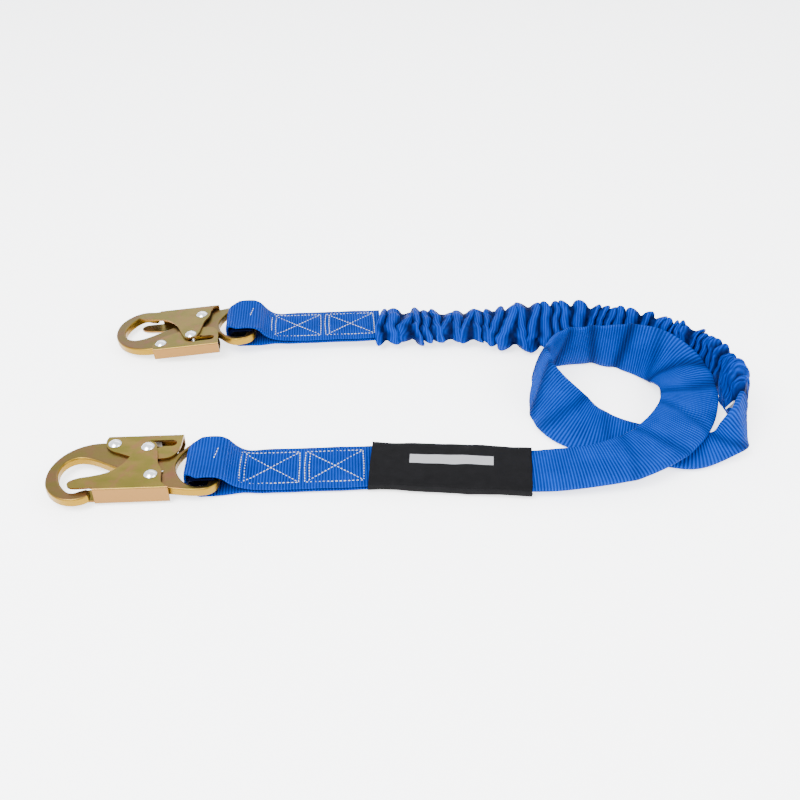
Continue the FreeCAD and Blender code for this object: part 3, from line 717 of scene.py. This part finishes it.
# ---- white box stitching ----
STITCH_LONG = 0.0023
STITCH_STEP = 0.0031
THREAD_HALF = 0.00033
STITCH_STRAY = 0.0001
STITCH_LIFT = 0.00012
BOX_LONG = 0.043
BOX_GAP = 0.0045
BOX_HALF = 0.0172
FIRST_STITCH = 0.0175


def capsule(verts, faces, middle, along, side, up, long, half):
    """Adds one stitch: a thread that dips into the webbing at both ends."""
    rings = 6
    around = 6
    base = len(verts)
    for i in range(rings + 1):
        t = -1.0 + 2.0 * i / rings
        size = half * math.sqrt(max(0.02, 1.0 - abs(t) ** 3))
        centre = middle + along * (t * long / 2) - up * (half * 0.9 * t * t)
        for k in range(around):
            angle = 2 * math.pi * k / around
            verts.append(centre + side * (size * math.cos(angle)) + up * (size * math.sin(angle)))
    for i in range(rings):
        for k in range(around):
            a = base + i * around + k
            b = base + i * around + (k + 1) % around
            faces.append((a, b, b + around, a + around))
    faces.append(tuple(base + k for k in range(around - 1, -1, -1)))
    faces.append(tuple(base + rings * around + k for k in range(around)))


def stitch_rows():
    """Rows in the tail's own frame as lists of (x, y) corners: two crossed boxes with doubled ends."""
    rows = []
    for box in range(2):
        left = FIRST_STITCH + box * (BOX_LONG + BOX_GAP)
        right = left + BOX_LONG
        h = BOX_HALF
        rows.append([(left, -h), (right, -h)])
        rows.append([(left, h), (right, h)])
        rows.append([(left, -h), (left - 0.0006, 0.0), (left, h)])
        rows.append([(left + 0.0034, -h + 0.001), (left + 0.0028, 0.0), (left + 0.0034, h - 0.001)])
        rows.append([(right, -h), (right + 0.0003, 0.0), (right, h)])
        rows.append([(left + 0.002, -h + 0.001), (right - 0.001, h - 0.001)])
        rows.append([(left + 0.002, h - 0.001), (right - 0.001, -h + 0.001)])
    rows.append([(-0.0010, -0.0020), (0.0002, 0.0045), (0.0014, 0.0110)])
    return rows


def walk(row, step):
    """Even places along a broken line, each with its direction."""
    places = []
    for (ax, ay), (bx, by) in zip(row[:-1], row[1:]):
        length = math.hypot(bx - ax, by - ay)
        count = max(1, int(round(length / step)))
        for k in range(count):
            share = (k + 0.5) / count
            x = ax + (bx - ax) * share
            y = ay + (by - ay) * share
            places.append((x, y, (bx - ax) / length, (by - ay) / length))
    return places


def make_stitching(eye):
    verts = []
    faces = []
    for row in stitch_rows():
        for x, y, dx, dy in walk(row, STITCH_STEP):
            angle = math.atan2(dy, dx) + random.uniform(-0.06, 0.06)
            for face in (1.0, -1.0):
                if x < 0.010 and face < 0.0:
                    continue
                height, slope = surface_height(eye, x, face)
                slope = -slope if face > 0.0 else slope
                tilt = Vector((math.cos(angle), math.sin(angle), slope * math.cos(angle))).normalized()
                along = eye.turn @ tilt
                side = eye.turn @ Vector((-math.sin(angle), math.cos(angle), 0.0))
                up = along.cross(side) * face
                sink = 0.0003 * (y / BOX_HALF) ** 2
                off_line = random.uniform(-STITCH_STRAY, STITCH_STRAY)
                spot = eye.world(x, y + off_line, height - face * sink)
                capsule(verts, faces, spot + up * STITCH_LIFT, along, side, up, STITCH_LONG, THREAD_HALF)
    thread = add_mesh(eye.side + "_thread", verts, faces, None, THREAD)
    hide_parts(eye.side + "_box_stitching")
    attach(thread, "webbing")


for eye in (NEAR_EYE, FAR_EYE):
    make_eye(eye)
    make_stitching(eye)


# ---- the black label cover ----
def cover_shape(s, across, face):
    rim = math.exp(-(s / 0.004) ** 2) + math.exp(-((s - cover_strip.length) / 0.004) ** 2)
    crease = 0.0012 * noise.noise(Vector((s * 26.0, across * 1.4, face * 0.8)))
    crease += 0.0005 * noise.noise(Vector((s * 90.0, across * 3.0, 4.0)))
    edge_wave = 0.0024 * noise.noise(Vector((s * 30.0, 9.0, 2.0)))
    width = SLEEVE_WIDTH / 2 - 0.0012 + edge_wave
    thick = SLEEVE_THICK / 2 - 0.0009 - 0.0006 * across * across
    along = 0.0010 * noise.noise(Vector((across * 2.0, face * 2.0, s * 4.0))) * rim
    return along, across * width, face * thick + crease * abs(face) * (1.0 - 0.4 * rim)


def page_shape(s, across, face):
    return 0.0, across * 0.0180, 0.00385 + face * 0.00012


cover_line, cover_rolls = route_line("cover_route", SLEEVE_ROUTE)
cover_strip = Strip(cover_line, cover_rolls, 0.0012)
cover = skin("cover", cover_strip, cover_shape, 72, 6.0, COVER)
page = skin("page", trimmed(cover_strip, 0.018), page_shape, 16, 6.0, PAGE)
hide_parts("label_page")
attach(page, "webbing")
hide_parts("label_cover")
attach(cover, "webbing")


# ---- stage, light and camera ----
FLOOR_SIZE = 8.0
FLOOR_GLOW = 2.0
STUDIO_STRENGTH = 2.3
LENS_MM = 42.4
SENSOR_MM = 36.0


def area(name, place, size, power, target):
    light = bpy.data.lights.new(name, "AREA")
    light.shape = "RECTANGLE"
    light.size = size[0]
    light.size_y = size[1]
    light.energy = power
    lamp = bpy.data.objects.new(name, light)
    bpy.context.scene.collection.objects.link(lamp)
    lamp.location = place
    lamp.rotation_euler = (Vector(target) - Vector(place)).to_track_quat("-Z", "Y").to_euler()


middle = Vector((0.0, 0.0, 0.0)) - ORIGIN
bpy.ops.mesh.primitive_plane_add(size=FLOOR_SIZE, location=(middle.x, middle.y, 0.0))
floor = bpy.context.object
floor.name = "floor"
backdrop = plain("pale_floor", (0.95, 0.95, 0.955), 0.0, 0.85)
glow = backdrop.node_tree.nodes["Principled BSDF"].inputs
glow["Emission Color"].default_value = (1.0, 1.0, 1.0, 1.0)
glow["Emission Strength"].default_value = FLOOR_GLOW
floor.data.materials.append(backdrop)

world = bpy.data.worlds.new("studio")
world.use_nodes = True
world.node_tree.nodes["Background"].inputs["Color"].default_value = (0.93, 0.96, 1.0, 1.0)
world.node_tree.nodes["Background"].inputs["Strength"].default_value = STUDIO_STRENGTH
bpy.context.scene.world = world
area("key", (middle.x - 0.6, middle.y - 0.7, 1.3), (0.9, 0.9), 58.0, middle)
area("fill", (middle.x + 1.0, middle.y - 0.5, 0.9), (1.0, 0.8), 20.0, middle)
area("rim", (middle.x, middle.y + 1.1, 0.9), (1.4, 0.5), 6.0, middle)

CAMERA_DISTANCE = 0.777
CAMERA_PITCH = math.radians(36.5)
camera_data = bpy.data.cameras.new("camera")
camera_data.lens = LENS_MM
camera_data.sensor_width = SENSOR_MM
camera = bpy.data.objects.new("camera", camera_data)
bpy.context.scene.collection.objects.link(camera)
camera.location = middle + Vector((0.0, -CAMERA_DISTANCE * math.cos(CAMERA_PITCH),
                                   CAMERA_DISTANCE * math.sin(CAMERA_PITCH)))
camera.rotation_euler = (math.radians(90.0) - CAMERA_PITCH, 0.0, 0.0)
bpy.context.scene.camera = camera
